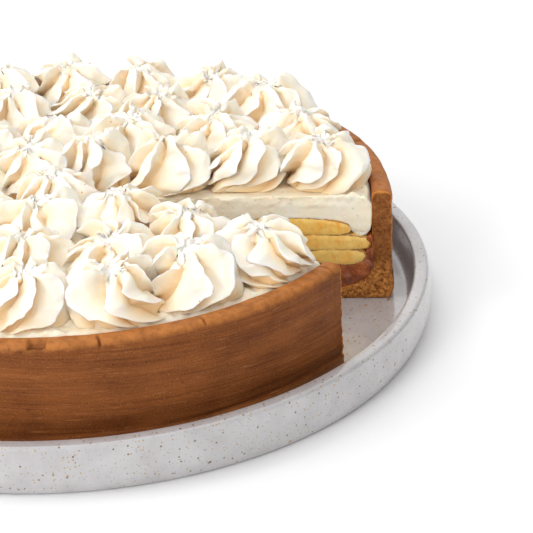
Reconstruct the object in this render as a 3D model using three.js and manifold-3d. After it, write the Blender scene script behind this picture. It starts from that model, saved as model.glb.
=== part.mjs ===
// Banoffee pie in its speckled stoneware dish, with one twelfth of the pie cut out.
// Millimetres, +Z up. The origin is the middle of the dish's underside, on the table,
// and +X runs out through the middle of the missing slice.
import * as THREE from "three";
import { mergeVertices } from "three/addons/utils/BufferGeometryUtils.js";
import Module from "manifold-3d";

// ---- driving dimensions ------------------------------------------------------------------
const PIE_RADIUS = 130;
const PIE_HEIGHT = 46.5; // of the pastry case, from its base to its rim
const SLICE_ANGLE = THREE.MathUtils.degToRad(30); // the twelfth that is missing

const DISH_RADIUS = 145.4;
const DISH_HEIGHT = 20.4;
const DISH_FOOT_RADIUS = 140.5;
const DISH_RIM_WIDTH = 6.8;
const DISH_FLOOR = 6.6; // thickness of the dish under the pie

const CRUST_WALL = 8;
const CRUST_BASE = 2.3;
const CRUST_FILLET = 26; // how far in from the wall the thick corner of the base reaches
const CRUST_CORNER = 13.5; // and how far up the wall
const CREAM_DROP = 2; // from the crust's rim down to the smooth top of the cream
const CREAM_LIP = 1.3; // how much lower the cream is where it meets the wall

const FIT = 0.3; // clearance between pieces that touch
const SEGMENTS = 56; // facets round the crust and the dish
const FILLING_SEGMENTS = 30;
const FILLET_STEPS = 3;

const ROSETTE_RADIUS = 19.5;
const ROSETTE_HEIGHT = 20;
const ROSETTE_REACH = 121.6; // no rosette goes further out than this

// ---- heights worked out from them --------------------------------------------------------
const BASE_Z = DISH_FLOOR + FIT;
const RIM_Z = BASE_Z + PIE_HEIGHT;
const CRUST_INNER = PIE_RADIUS - CRUST_WALL;
const FILLING_Z = BASE_Z + CRUST_BASE; // inside of the crust's base
const CREAM_Z = RIM_Z - CREAM_DROP;
const ROSETTE_Z = CREAM_Z + FIT;

// The rings of piped rosettes: how far out, how many, and the azimuths of the first and last.
const ROSETTE_RINGS = [
  { radius: 103.5, count: 19, first: 25, last: 337 },
  { radius: 73, count: 13, first: 29, last: 331 },
  { radius: 44, count: 8, first: 38, last: 322 },
  { radius: 18, count: 3, first: 76, last: 284 },
];

// The banana slices lie lengthwise in courses. Each course is an outline of its section, of
// [radius, height above the crust's base], anticlockwise from its outer end.
const BANANA_COURSES = {
  banana_lower: [
    [119.4, 15.8],
    [117.4, 18.6],
    [97.5, 18.6],
    [94.6, 16.2],
    [98.5, 13],
    [108, 12.2],
    [116.4, 12.8],
  ],
  banana_middle: [
    [121.1, 21.8],
    [119.6, 24.6],
    [92, 25.2],
    [68, 24.4],
    [64, 21.6],
    [68, 19.2],
    [92, 18.9],
    [119.4, 18.9],
  ],
  banana_upper: [
    [114, 27.8],
    [111, 30.8],
    [90, 33],
    [70, 31.6],
    [61, 27],
    [58, 21],
    [60.4, 17.6],
    [63, 18.8],
    [63.4, 22],
    [67.7, 25.2],
    [92, 25.7],
    [111.5, 25.4],
  ],
  banana_inner: [
    [50, 16.2],
    [47, 19.6],
    [32, 21.6],
    [17, 19.4],
    [13, 16],
    [17, 12.8],
    [32, 12],
    [47, 12.8],
  ],
};

// The toffee's surface under the bananas, from the wall to the middle of the pie, and the
// cream's underside on top of them, from the middle out to the wall.
const TOFFEE_TOP = [
  [121.4, 18.4],
  [119.9, 18.2],
  [119.8, 15.4],
  [116.7, 12.3],
  [108, 11.7],
  [98.2, 12.5],
  [94.1, 16.1],
  [93, 18.4],
  [68, 18.7],
  [60.2, 17.1],
  [55, 13.8],
  [47.5, 12.3],
  [32, 11.5],
  [16.7, 12.3],
  [11, 16.5],
  [0, 16.5],
];
const CREAM_UNDERSIDE = [
  [0, 17],
  [12.2, 17],
  [16.6, 19.9],
  [32, 22.1],
  [47.4, 20.1],
  [52, 14.4],
  [55.4, 15.4],
  [60, 27.4],
  [69.7, 32.1],
  [90, 33.5],
  [111.3, 31.3],
  [114.7, 27.6],
  [113.2, 25.2],
  [121.4, 25],
];

const COLOURS = {
  dish: 0xc6c5c4,
  crust: 0x80512f,
  toffee: 0x8a4b1e,
  banana: 0xdcaa4c,
  cream: 0xf6ead6,
  rosette: 0xfaf1e2,
};

// ---- helpers -----------------------------------------------------------------------------
const wasm = await Module();
wasm.setup();

/** A closed geometry as a solid that can be joined and cut. */
function solidFrom(geometry) {
  const bare = geometry.clone();
  bare.deleteAttribute("normal");
  bare.deleteAttribute("uv");
  const merged = mergeVertices(bare, 1e-4);
  return new wasm.Manifold(
    new wasm.Mesh({
      numProp: 3,
      vertProperties: new Float32Array(merged.attributes.position.array),
      triVerts: new Uint32Array(merged.index.array),
    }),
  );
}

/** A solid as a three.js geometry again. */
function geometryFrom(solid) {
  const mesh = solid.getMesh();
  const geometry = new THREE.BufferGeometry();
  geometry.setAttribute("position", new THREE.BufferAttribute(mesh.vertProperties, 3));
  geometry.setIndex(new THREE.BufferAttribute(mesh.triVerts, 1));
  geometry.computeVertexNormals();
  return geometry;
}

/** A profile of [radius, height] pairs turned round the Z axis. */
function revolve(profile, segments) {
  const points = profile.map(([r, z]) => new THREE.Vector2(r, z));
  return new THREE.LatheGeometry(points, segments).rotateX(Math.PI / 2);
}

/** Points of an arc about (r, z), from one angle to another in degrees, in the profile's plane. */
function arc(r, z, radiusR, radiusZ, from, to, steps) {
  return Array.from({ length: steps + 1 }, (_, i) => {
    const angle = THREE.MathUtils.degToRad(from + ((to - from) * i) / steps);
    return [r + radiusR * Math.cos(angle), z + radiusZ * Math.sin(angle)];
  });
}

/** How much higher or lower the uneven filling lies at a place in the pie. */
function settle(radius, azimuth) {
  const inside = THREE.MathUtils.smoothstep(radius, 4, 30);
  return inside * (0.6 * Math.sin(3 * azimuth) + 0.4 * Math.sin(5 * azimuth + 1.7));
}

/** Gives a filling its uneven layers, between the flat base of the crust and the cream's top. */
function settled(geometry) {
  const position = geometry.attributes.position;
  for (let i = 0; i < position.count; i += 1) {
    const z = position.getZ(i);
    const radius = Math.hypot(position.getX(i), position.getY(i));
    const azimuth = Math.atan2(position.getY(i), position.getX(i));
    const between = z > FILLING_Z + 11 && z < CREAM_Z - CREAM_LIP - 1;
    if (between) position.setZ(i, z + settle(radius, azimuth));
  }
  return geometry;
}

/** A seeded draw between 0 and 1, so that every build gives the same rosettes. */
function seededDraw(seed) {
  let state = seed;
  return () => {
    state = (state * 1664525 + 1013904223) % 4294967296;
    return state / 4294967296;
  };
}

// ---- the missing slice -------------------------------------------------------------------
const half = SLICE_ANGLE / 2;
const reach = (PIE_RADIUS + 20) / Math.cos(half);
const sliceOutline = new THREE.Shape([
  new THREE.Vector2(0, 0),
  new THREE.Vector2(reach * Math.cos(half), -reach * Math.sin(half)),
  new THREE.Vector2(reach * Math.cos(half), reach * Math.sin(half)),
]);
const slice = solidFrom(
  new THREE.ExtrudeGeometry(sliceOutline, { depth: 4 * PIE_HEIGHT, bevelEnabled: false }),
);

/** The geometry of a solid once the missing slice is cut out of it. */
function sliced(solid) {
  return geometryFrom(solid.subtract(slice));
}

// ---- dish --------------------------------------------------------------------------------
function dishGeometry() {
  const inside = DISH_RADIUS - DISH_RIM_WIDTH;
  const profile = [
    [0, 0],
    [DISH_FOOT_RADIUS, 0],
    [DISH_FOOT_RADIUS + 2.6, 2], // the wall swells a little above its rounded foot
    [DISH_RADIUS - 0.4, 7],
    [DISH_RADIUS, 12],
    [DISH_RADIUS - 0.6, DISH_HEIGHT - 1.9],
    [DISH_RADIUS - 2, DISH_HEIGHT],
    [inside + 1.4, DISH_HEIGHT],
    [inside, DISH_HEIGHT - 1.3],
    [inside - 0.4, DISH_FLOOR + 3],
    [inside - 1.8, DISH_FLOOR + 0.8],
    [inside - 4.4, DISH_FLOOR],
    [0, DISH_FLOOR],
  ];
  return revolve(profile, SEGMENTS);
}

// ---- crust -------------------------------------------------------------------------------
function crustSolid() {
  const cornerR = CRUST_INNER - CRUST_FILLET;
  const profile = [
    [0, BASE_Z],
    ...arc(PIE_RADIUS - 3, BASE_Z + 3, 3, 3, -90, 0, 1),
    [PIE_RADIUS - 0.2, BASE_Z + 8.7], // the seam round the foot of the case
    [PIE_RADIUS, BASE_Z + 9.4],
    ...arc(PIE_RADIUS - CRUST_WALL / 2, RIM_Z - 3.4, CRUST_WALL / 2, 3.4, 0, 180, 4),
    ...arc(cornerR, FILLING_Z + CRUST_CORNER, CRUST_FILLET, CRUST_CORNER, 0, -90, FILLET_STEPS),
    [0, FILLING_Z],
  ];
  return solidFrom(revolve(profile, SEGMENTS));
}

// ---- toffee, bananas and cream -----------------------------------------------------------
/** Turns an outline whose heights are above the crust's base into one of the pie's fillings. */
function fillingSolid(outline) {
  const profile = outline.map(([r, z]) => [r, FILLING_Z + z]);
  return solidFrom(settled(revolve(profile, FILLING_SEGMENTS)));
}

function bananaSolid(course) {
  return fillingSolid([...course, course[0]]);
}

function toffeeSolid() {
  const cornerR = CRUST_INNER - CRUST_FILLET - 2 * FIT;
  const fillet = arc(cornerR, CRUST_CORNER + FIT, CRUST_FILLET, CRUST_CORNER, -90, 0, FILLET_STEPS);
  return fillingSolid([[0, FIT], ...fillet, ...TOFFEE_TOP]);
}

function creamSolid() {
  const [wall] = CREAM_UNDERSIDE.at(-1);
  const top = CREAM_Z - FILLING_Z;
  return fillingSolid([...CREAM_UNDERSIDE, [wall, top - CREAM_LIP], [wall - 3.5, top], [0, top]]);
}

// ---- rosettes ----------------------------------------------------------------------------
// Rings of vertices from the foot to the crown. Each gives the share of the rosette's radius
// and height at the crest of a petal and in the fold beside it, and how far it is turned, in
// shares of one petal.
const ROSETTE_LEVELS = [
  { crest: [0.86, 0], fold: [0.72, 0], turn: -0.25 },
  { crest: [1, 0.3], fold: [0.74, 0.24], turn: 0 },
  { crest: [0.78, 0.7], fold: [0.5, 0.56], turn: 0.2 },
  { crest: [0.3, 1], fold: [0.17, 0.82], turn: 0.55 },
];
const ROSETTE_PIT = 0.84; // height of the middle, between the petals

/** Middles of the rosettes, each with its own size, petal count and turn. */
function rosettePlaces() {
  const draw = seededDraw(26);
  const jitter = (amount) => (2 * draw() - 1) * amount;
  return ROSETTE_RINGS.flatMap(({ radius, count, first, last }) =>
    Array.from({ length: count }, (_, i) => {
      const degrees = first + ((last - first) * i) / (count - 1) + jitter(60 / radius);
      const azimuth = THREE.MathUtils.degToRad(degrees);
      const out = radius + jitter(1.8);
      return {
        x: out * Math.cos(azimuth),
        y: out * Math.sin(azimuth),
        size: ROSETTE_RADIUS + jitter(1.2),
        height: ROSETTE_HEIGHT + jitter(1.2),
        petals: 8 + Math.round(draw() - 0.1),
        turn: draw() * Math.PI,
      };
    }),
  );
}

/** The straight sides that squash a rosette: its neighbours, the cut faces and the rim. */
function squashingSides(place, places) {
  const sides = places
    .filter((other) => other !== place)
    .map((other) => {
      const dx = other.x - place.x;
      const dy = other.y - place.y;
      const distance = Math.hypot(dx, dy);
      return { nx: dx / distance, ny: dy / distance, distance: (distance - FIT) / 2 };
    });
  for (const sign of [-1, 1]) {
    const nx = Math.sin(half);
    const ny = -sign * Math.cos(half);
    const distance = -(nx * place.x + ny * place.y) - FIT;
    sides.push({ nx, ny, distance: sign * place.y > 0 ? distance : Infinity });
  }
  const out = Math.hypot(place.x, place.y);
  sides.push({ nx: place.x / out, ny: place.y / out, distance: ROSETTE_REACH - out });
  return sides;
}

/** How far a rosette reaches in one direction before it meets one of its sides. */
function roomTowards(direction, sides) {
  return sides.reduce((room, { nx, ny, distance }) => {
    const facing = nx * Math.cos(direction) + ny * Math.sin(direction);
    return facing > 1e-3 ? Math.min(room, distance / facing) : room;
  }, Infinity);
}

function rosetteGeometry(place, places) {
  const sides = squashingSides(place, places);
  const columns = 2 * place.petals;
  const vertices = [[0, 0, 0]];
  for (const { crest, fold, turn } of ROSETTE_LEVELS) {
    for (let i = 0; i < columns; i += 1) {
      const [share, rise] = i % 2 ? fold : crest;
      const lean = i % 2 ? -0.16 : 0; // the fold tucks in under one side of its petal
      const direction = place.turn + ((i / 2 + turn + lean) * 2 * Math.PI) / place.petals;
      const radius = Math.min(share * place.size, roomTowards(direction, sides));
      vertices.push([
        radius * Math.cos(direction),
        radius * Math.sin(direction),
        rise * place.height,
      ]);
    }
  }
  const top = vertices.push([0, 0, ROSETTE_PIT * place.height]) - 1;
  const faces = [];
  for (let i = 0; i < columns; i += 1) {
    const next = (i + 1) % columns;
    faces.push([0, 1 + next, 1 + i]);
    for (let level = 0; level < ROSETTE_LEVELS.length - 1; level += 1) {
      const low = 1 + level * columns;
      const high = low + columns;
      faces.push([low + i, low + next, high + next], [low + i, high + next, high + i]);
    }
    const crown = 1 + (ROSETTE_LEVELS.length - 1) * columns;
    faces.push([crown + i, crown + next, top]);
  }
  const geometry = new THREE.BufferGeometry();
  geometry.setAttribute("position", new THREE.Float32BufferAttribute(vertices.flat(), 3));
  geometry.setIndex(faces.flat());
  geometry.computeVertexNormals();
  return geometry;
}

// ---- the whole pie -----------------------------------------------------------------------
function material(name, roughness) {
  return new THREE.MeshStandardMaterial({ color: COLOURS[name], roughness, metalness: 0 });
}

function named(name, geometry, finish) {
  const mesh = new THREE.Mesh(geometry, finish);
  mesh.name = name;
  return mesh;
}

const pie = new THREE.Group();
pie.name = "banoffee_pie";
pie.add(named("dish", dishGeometry(), material("dish", 0.3)));
pie.add(named("crust", sliced(crustSolid()), material("crust", 0.75)));
pie.add(named("toffee", sliced(toffeeSolid()), material("toffee", 0.2)));
for (const [name, course] of Object.entries(BANANA_COURSES)) {
  pie.add(named(name, sliced(bananaSolid(course)), material("banana", 0.45)));
}
pie.add(named("cream", sliced(creamSolid()), material("cream", 0.5)));

const places = rosettePlaces();
places.forEach((place, index) => {
  const name = `rosette_${String(index + 1).padStart(2, "0")}`;
  const rosette = named(name, rosetteGeometry(place, places), material("rosette", 0.5));
  rosette.position.set(place.x, place.y, ROSETTE_Z);
  pie.add(rosette);
});

export default pie;
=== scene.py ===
"""The looks of a banoffee pie in its speckled stoneware dish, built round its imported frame.

Sizes in the classes below are millimetres, as on the bench, and become metres when a mesh is
made. +Z is up, and +X runs out through the middle of the missing slice.
"""

from __future__ import annotations

import logging
import math
from collections.abc import Callable
from dataclasses import dataclass, field
from enum import Enum
from functools import reduce

import bpy
import numpy as np
from mathutils import Matrix, Vector
from mathutils.geometry import delaunay_2d_cdt


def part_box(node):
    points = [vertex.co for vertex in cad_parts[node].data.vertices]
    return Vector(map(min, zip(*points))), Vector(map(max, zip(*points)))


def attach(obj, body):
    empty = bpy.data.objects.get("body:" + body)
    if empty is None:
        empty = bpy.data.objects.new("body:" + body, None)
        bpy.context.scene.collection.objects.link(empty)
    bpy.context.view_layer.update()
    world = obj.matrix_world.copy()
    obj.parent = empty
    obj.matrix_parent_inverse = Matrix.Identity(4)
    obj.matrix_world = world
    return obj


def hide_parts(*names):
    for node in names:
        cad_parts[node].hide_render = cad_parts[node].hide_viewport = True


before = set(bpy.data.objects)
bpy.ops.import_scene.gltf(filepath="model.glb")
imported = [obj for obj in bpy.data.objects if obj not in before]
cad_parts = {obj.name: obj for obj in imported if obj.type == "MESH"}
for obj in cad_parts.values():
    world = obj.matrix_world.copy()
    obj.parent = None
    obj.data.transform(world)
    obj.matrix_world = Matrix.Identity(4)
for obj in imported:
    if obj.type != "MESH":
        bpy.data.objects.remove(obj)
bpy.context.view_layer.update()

log = logging.getLogger("pie")

MM = 0.001
BODY = "root"
FULL_TURN = 2 * math.pi

Triple = tuple[float, float, float]
Colour = tuple[float, float, float, float]
Socket = bpy.types.NodeSocket


# ---- driving dimensions -------------------------------------------------------------------
@dataclass(frozen=True)
class PieSizes:
    """The sizes that the pieces share, in millimetres, and half the missing slice's angle."""

    radius: float = 130.0
    base_z: float = 6.9
    rim_z: float = 53.4
    wall: float = 8.0
    base: float = 2.3
    seam: float = 9.1
    corner_width: float = 26.0
    corner_height: float = 13.5
    half_gap: float = math.radians(15)
    cream_z: float = 51.4
    rosette_reach: float = 121.6

    @property
    def inner(self) -> float:
        """The inside radius of the case."""
        return self.radius - self.wall

    @property
    def corner_r(self) -> float:
        """The radius where the case's inside corner starts to rise."""
        return self.inner - self.corner_width

    @property
    def filling_z(self) -> float:
        """The height of the case's inside base."""
        return self.base_z + self.base


SIZES = PieSizes()


class CutFace(Enum):
    """The two faces that the missing slice leaves, by the side of the X axis they lie on."""

    NEAR = -1
    FAR = 1


# ---- shaping tools ------------------------------------------------------------------------
class Relief:
    """Smooth seeded noise in three dimensions, about -1 to 1, for uneven surfaces."""

    TABLE = 256
    GAIN = 1.6  # brings the noise to about -1 to 1

    def __init__(self, seed: int) -> None:
        """Draws the tables of one noise.

        Args:
            seed: what makes this noise differ from the others.
        """
        draw = np.random.default_rng(seed)
        self.order = draw.permutation(self.TABLE)
        slopes = draw.normal(size=(self.TABLE, 3))
        self.slopes = slopes / np.linalg.norm(slopes, axis=1, keepdims=True)

    def at(self, points: np.ndarray, size: float | Triple) -> np.ndarray:
        """The noise at some points.

        Args:
            points: the places, one row of three numbers each.
            size: the size of one bump, the same or different along X, Y and Z.

        Returns:
            One number for each point.
        """
        scaled = points / np.asarray(size, dtype=float)
        cell = np.floor(scaled).astype(np.int64)
        inside = scaled - cell
        blend = inside**3 * (inside * (inside * 6 - 15) + 10)
        total = np.zeros(len(points))
        for corner in np.ndindex(2, 2, 2):
            place = (cell + corner) % self.TABLE
            index = self.order[place[:, 0]]
            index = self.order[(index + place[:, 1]) % self.TABLE]
            index = self.order[(index + place[:, 2]) % self.TABLE]
            share = np.prod(np.where(corner, blend, 1 - blend), axis=1)
            total += share * np.einsum("ij,ij->i", self.slopes[index], inside - corner)
        return self.GAIN * total

    def rough(self, points: np.ndarray, size: float, octaves: int = 3) -> np.ndarray:
        """The noise with finer noise on top.

        Args:
            points: the places.
            size: the size of the largest bumps.
            octaves: how many sizes, each half the one before.

        Returns:
            One number for each point.
        """
        return sum(self.at(points, size / 2**k) / 2**k for k in range(octaves))


def curve_through(keys: list[tuple[float, ...]], steps: np.ndarray) -> np.ndarray:
    """A smooth curve through key values, read at some steps.

    Args:
        keys: rows of a step, rising, and the values there.
        steps: where the curve is read.

    Returns:
        One row of values for each step.
    """
    table = np.array(keys, dtype=float)
    at, values = table[:, 0], table[:, 1:]
    slopes = np.gradient(values, at, axis=0)
    i = np.clip(np.searchsorted(at, steps, side="right") - 1, 0, len(at) - 2)
    width = (at[i + 1] - at[i])[:, None]
    s = (np.asarray(steps) - at[i])[:, None] / width
    return (
        (2 * s**3 - 3 * s**2 + 1) * values[i]
        + (s**3 - 2 * s**2 + s) * width * slopes[i]
        + (3 * s**2 - 2 * s**3) * values[i + 1]
        + (s**3 - s**2) * width * slopes[i + 1]
    )


def rounded_outline(corners: list[tuple[float, float]], spacing: float, passes: int) -> np.ndarray:
    """A closed outline with its corners cut round and its points evenly spaced.

    Args:
        corners: the outline's corners, anticlockwise.
        spacing: the distance between the points of the result.
        passes: how often the corners are cut. More passes give rounder corners.

    Returns:
        The points, one row each. The last isn't the first again.
    """
    points = np.array(corners, dtype=float)
    for _ in range(passes):
        ahead = np.roll(points, -1, axis=0)
        points = np.stack([0.75 * points + 0.25 * ahead, 0.25 * points + 0.75 * ahead], 1)
        points = points.reshape(-1, 2)
    return even_outline(points, spacing)


def even_outline(points: np.ndarray, spacing: float) -> np.ndarray:
    """Puts points at even distances along a closed outline.

    Args:
        points: the outline.
        spacing: the distance between the new points.

    Returns:
        The new points.
    """
    loop = np.vstack([points, points[:1]])
    length = np.r_[0, np.cumsum(np.linalg.norm(np.diff(loop, axis=0), axis=1))]
    count = max(8, round(length[-1] / spacing))
    steps = np.arange(count) * length[-1] / count
    return np.stack([np.interp(steps, length, loop[:, k]) for k in (0, 1)], 1)


def arc(
    middle: tuple[float, float],
    size: float | tuple[float, float],
    start: float,
    end: float,
    count: int,
) -> np.ndarray:
    """Points along a round or oval arc.

    Args:
        middle: the arc's middle.
        size: its radius, or its radius across and its radius upwards.
        start: the angle where it starts, in degrees.
        end: the angle where it ends.
        count: how many points it has.

    Returns:
        The points, one row each.
    """
    angles = np.radians(np.linspace(start, end, count))
    return np.array(middle) + np.asarray(size) * np.stack([np.cos(angles), np.sin(angles)], 1)


def turned(outline: np.ndarray, azimuth: np.ndarray) -> tuple[np.ndarray, ...]:
    """Turns a half section round the pie's axis.

    Args:
        outline: the section's points, by radius and height.
        azimuth: the directions of the columns.

    Returns:
        The radius, height and azimuth of each point by row and column, and the points.
    """
    r, a = np.meshgrid(outline[:, 0], azimuth, indexing="ij")
    z = np.repeat(outline[:, 1][:, None], len(azimuth), axis=1)
    return r, z, a, np.stack([r * np.cos(a), r * np.sin(a), z], -1)


def grid_quads(rows: int, columns: int, wrap: bool, start: int = 0) -> np.ndarray:
    """The faces of a grid of vertices that are numbered row by row.

    Args:
        rows: how many rows of vertices there are.
        columns: how many vertices a row has.
        wrap: whether the last column meets the first.
        start: the number of the grid's first vertex.

    Returns:
        One row of four vertex numbers for each face.
    """
    across = np.arange(columns if wrap else columns - 1)
    down = np.arange(rows - 1)
    j, i = np.meshgrid(across, down)
    following = (j + 1) % columns
    quads = np.stack(
        [i * columns + j, i * columns + following, (i + 1) * columns + following,
         (i + 1) * columns + j], axis=-1,
    )
    return start + quads.reshape(-1, 4)


def place_object(name: str, data: bpy.types.ID) -> bpy.types.Object:
    """Puts a mesh, a light or a camera into the scene.

    Args:
        name: the object's name.
        data: what it shows.

    Returns:
        The new object.
    """
    piece = bpy.data.objects.new(name, data)
    bpy.context.collection.objects.link(piece)
    return piece


def make_piece(
    name: str,
    points: np.ndarray,
    faces: list[np.ndarray],
    finish: bpy.types.Material,
    marks: dict[str, np.ndarray] | None = None,
) -> bpy.types.Object:
    """Makes one smooth-shaded mesh object.

    Args:
        name: the piece's name.
        points: the vertices, in millimetres.
        faces: arrays of faces, each with one number of corners.
        finish: its material.
        marks: values for each vertex that its material reads, by name.

    Returns:
        The new object, in the scene.
    """
    corners = np.concatenate([f.ravel() for f in faces]).astype(np.int32)
    sizes = np.concatenate([np.full(len(f), f.shape[1], dtype=np.int32) for f in faces])
    starts = np.r_[0, np.cumsum(sizes)[:-1]].astype(np.int32)
    mesh = bpy.data.meshes.new(name)
    mesh.vertices.add(len(points))
    mesh.vertices.foreach_set("co", (points * MM).astype(np.float32).ravel())
    mesh.loops.add(len(corners))
    mesh.loops.foreach_set("vertex_index", corners)
    mesh.polygons.add(len(sizes))
    mesh.polygons.foreach_set("loop_start", starts)
    mesh.update(calc_edges=True)
    mesh.validate()
    for mark, values in (marks or {}).items():
        layer = mesh.attributes.new(mark, "FLOAT", "POINT")
        layer.data.foreach_set("value", values.astype(np.float32))
    mesh.shade_smooth()
    mesh.materials.append(finish)
    return place_object(name, mesh)


def grid_normals(grid: np.ndarray, wrap_rows: bool, wrap_columns: bool) -> np.ndarray:
    """Unit normals of a grid of points.

    Args:
        grid: the points, by row and column.
        wrap_rows: whether the last row meets the first.
        wrap_columns: whether the last column meets the first.

    Returns:
        One normal for each point.
    """

    def slope(axis: int, wrap: bool) -> np.ndarray:
        """The steps along one direction of the grid.

        Args:
            axis: the direction.
            wrap: whether the last point meets the first.

        Returns:
            One step for each point.
        """
        if wrap:
            return np.roll(grid, -1, axis=axis) - np.roll(grid, 1, axis=axis)
        return np.gradient(grid, axis=axis)

    normals = np.cross(slope(1, wrap_columns), slope(0, wrap_rows))
    length = np.linalg.norm(normals, axis=-1, keepdims=True)
    return normals / np.maximum(length, 1e-9)


def smooth_step(value: np.ndarray, low: float, high: float) -> np.ndarray:
    """Rises smoothly from 0 to 1 while a value goes from low to high."""
    s = np.clip((value - low) / (high - low), 0, 1)
    return s * s * (3 - 2 * s)


def settle(radius: np.ndarray, azimuth: np.ndarray) -> np.ndarray:
    """How much higher or lower the uneven filling lies, the same for all its layers.

    Args:
        radius: how far from the middle of the pie.
        azimuth: the direction from the middle.

    Returns:
        Heights in millimetres.
    """
    inside = smooth_step(radius, 4, 30)
    return inside * (0.6 * np.sin(3 * azimuth) + 0.4 * np.sin(5 * azimuth + 1.7))


# ---- materials ----------------------------------------------------------------------------
def paint(red: int, green: int, blue: int) -> Colour:
    """A screen colour as the linear colour that a shader takes.

    Args:
        red: its red, 0 to 255.
        green: its green.
        blue: its blue.

    Returns:
        The colour, with full alpha.
    """

    def linear(value: int) -> float:
        """One of the three as a linear share."""
        share = value / 255
        return share / 12.92 if share <= 0.04045 else ((share + 0.055) / 1.055) ** 2.4

    return linear(red), linear(green), linear(blue), 1.0


class Bench:
    """A new material and short calls that add the nodes of its surface."""

    def __init__(self, name: str) -> None:
        """Starts a material.

        Args:
            name: the material's name.
        """
        self.material = bpy.data.materials.new(name)
        self.material.use_nodes = True
        self.tree = self.material.node_tree
        self.surface = self.tree.nodes["Principled BSDF"]
        self.place = self.add("ShaderNodeTexCoord").outputs["Object"]

    def add(self, kind: str, settings: dict | None = None, **sockets: object) -> bpy.types.Node:
        """Adds a node.

        Args:
            kind: the node's type.
            settings: its properties.
            sockets: values or outputs for its inputs, by name with _ for a space.

        Returns:
            The node.
        """
        node = self.tree.nodes.new(kind)
        for key, value in (settings or {}).items():
            setattr(node, key, value)
        for key, value in sockets.items():
            self.feed(node.inputs[key.replace("_", " ")], value)
        return node

    def feed(self, socket: Socket, value: object) -> None:
        """Gives an input its value.

        Args:
            socket: the input.
            value: a number, a colour or the output of another node.
        """
        if isinstance(value, Socket):
            self.tree.links.new(value, socket)
        else:
            socket.default_value = value

    def height(self) -> Socket:
        """The height on the piece, in metres."""
        return self.add("ShaderNodeSeparateXYZ", Vector=self.place).outputs["Z"]

    def stretched(self, size: Triple, place: Socket | None = None) -> Socket:
        """A place in units of its own along X, Y and Z.

        Args:
            size: the three units, in millimetres.
            place: what is stretched, or nothing for the place on the piece.

        Returns:
            The place in those units.
        """
        scale = [1 / (length * MM) for length in size]
        read = self.place if place is None else place
        return self.add("ShaderNodeMapping", Vector=read, Scale=scale).outputs["Vector"]

    def leaning(self, size: Triple, slope: float) -> Socket:
        """The stretched place on the piece, with level lines that climb along X.

        Args:
            size: the units along X, Y and Z, in millimetres.
            slope: how steeply the lines climb.

        Returns:
            The place in those units.
        """
        parts = self.add("ShaderNodeSeparateXYZ", Vector=self.place).outputs
        climbed = self.plus(parts["Z"], self.times(parts["X"], slope))
        place = self.add("ShaderNodeCombineXYZ", X=parts["X"], Y=parts["Y"], Z=climbed)
        return self.stretched(size, place.outputs["Vector"])

    def noise(
        self, size: float, detail: float = 3, rough: float = 0.5, place: Socket | None = None,
    ) -> Socket:
        """Cloudy values of 0 to 1.

        Args:
            size: the size of a bump, in millimetres, or in the units of a stretched place.
            detail: how many times finer bumps are added.
            rough: how strong those are.
            place: the stretched place that is read, or nothing for the place on the piece.

        Returns:
            The values.
        """
        read, scale = (self.place, 1 / (size * MM)) if place is None else (place, 1 / size)
        return self.add(
            "ShaderNodeTexNoise", Vector=read, Scale=scale, Detail=detail, Roughness=rough,
        ).outputs["Fac"]

    def cells(self, size: float) -> bpy.types.Node:
        """The node of a cell pattern whose cells have a size in millimetres."""
        return self.add("ShaderNodeTexVoronoi", Vector=self.place, Scale=1 / (size * MM))

    def spots(
        self,
        size: float,
        near: float,
        far: float,
        left: float,
        strength: float = 1.0,
        faint: float = 0.02,
        ragged: float = 0.0,
    ) -> Socket:
        """Scattered spots, one at most in each cell of a pattern.

        Args:
            size: how far apart they could be, in millimetres.
            near: the radius up to which a spot is full, as a share of that size.
            far: the radius where it has faded away.
            left: the share of the spots that is left out.
            strength: how strong the others are, 0 to 1.
            faint: the share of the spots that is weaker than that.
            ragged: the size of the dents in their edges, 0 for round spots.

        Returns:
            Shares of 0 to the strength.
        """
        pattern = self.cells(size)
        distance = pattern.outputs["Distance"]
        if ragged:
            dents = self.less(self.noise(size * ragged * 1.5, 2), 0.5)
            distance = self.plus(distance, self.times(dents, ragged * 1.4))
        spot = self.ramp(distance, [(near, 1.0), (far, 0.0)])
        drawn = self.add("ShaderNodeSeparateColor", Color=pattern.outputs["Color"])
        chosen = self.ramp(drawn.outputs["Red"], [(left, 0.0), (left + faint, strength)])
        return self.times(spot, chosen)

    def rise(self, low: float, high: float, value: Socket | None = None) -> Socket:
        """Goes smoothly from 0 to 1 between two heights.

        Args:
            low: where it starts, in millimetres.
            high: where it has reached 1.
            value: what is read instead of the height, in metres.

        Returns:
            The share.
        """
        read = self.height() if value is None else value
        return self.add(
            "ShaderNodeMapRange", {"interpolation_type": "SMOOTHSTEP"}, Value=read,
            From_Min=low * MM, From_Max=high * MM,
        ).outputs["Result"]

    def ramp(self, value: Socket, stops: list[tuple[float, float | Colour]]) -> Socket:
        """Turns a value into a colour or a share.

        Args:
            value: the output that is read.
            stops: rising places of 0 to 1, each with a number or a colour.

        Returns:
            The colour output.
        """
        node = self.add("ShaderNodeValToRGB", Fac=value)
        elements = node.color_ramp.elements
        while len(elements) < len(stops):
            elements.new(0.5)
        for element, (at, shade) in zip(elements, stops):
            element.position = at
            element.color = (shade, shade, shade, 1) if isinstance(shade, (int, float)) else shade
        return node.outputs["Color"]

    def mix(self, share: Socket, first: Socket | Colour, second: Socket | Colour) -> Socket:
        """Mixes two colours.

        Args:
            share: how much of the second is taken.
            first: the colour at 0.
            second: the colour at 1.

        Returns:
            The mixed colour.
        """
        node = self.add("ShaderNodeMix", {"data_type": "RGBA"})
        # the node's inputs 6 and 7 and its output 2 are the ones for colours
        for number, value in ((0, share), (6, first), (7, second)):
            self.feed(node.inputs[number], value)
        return node.outputs[2]

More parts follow.
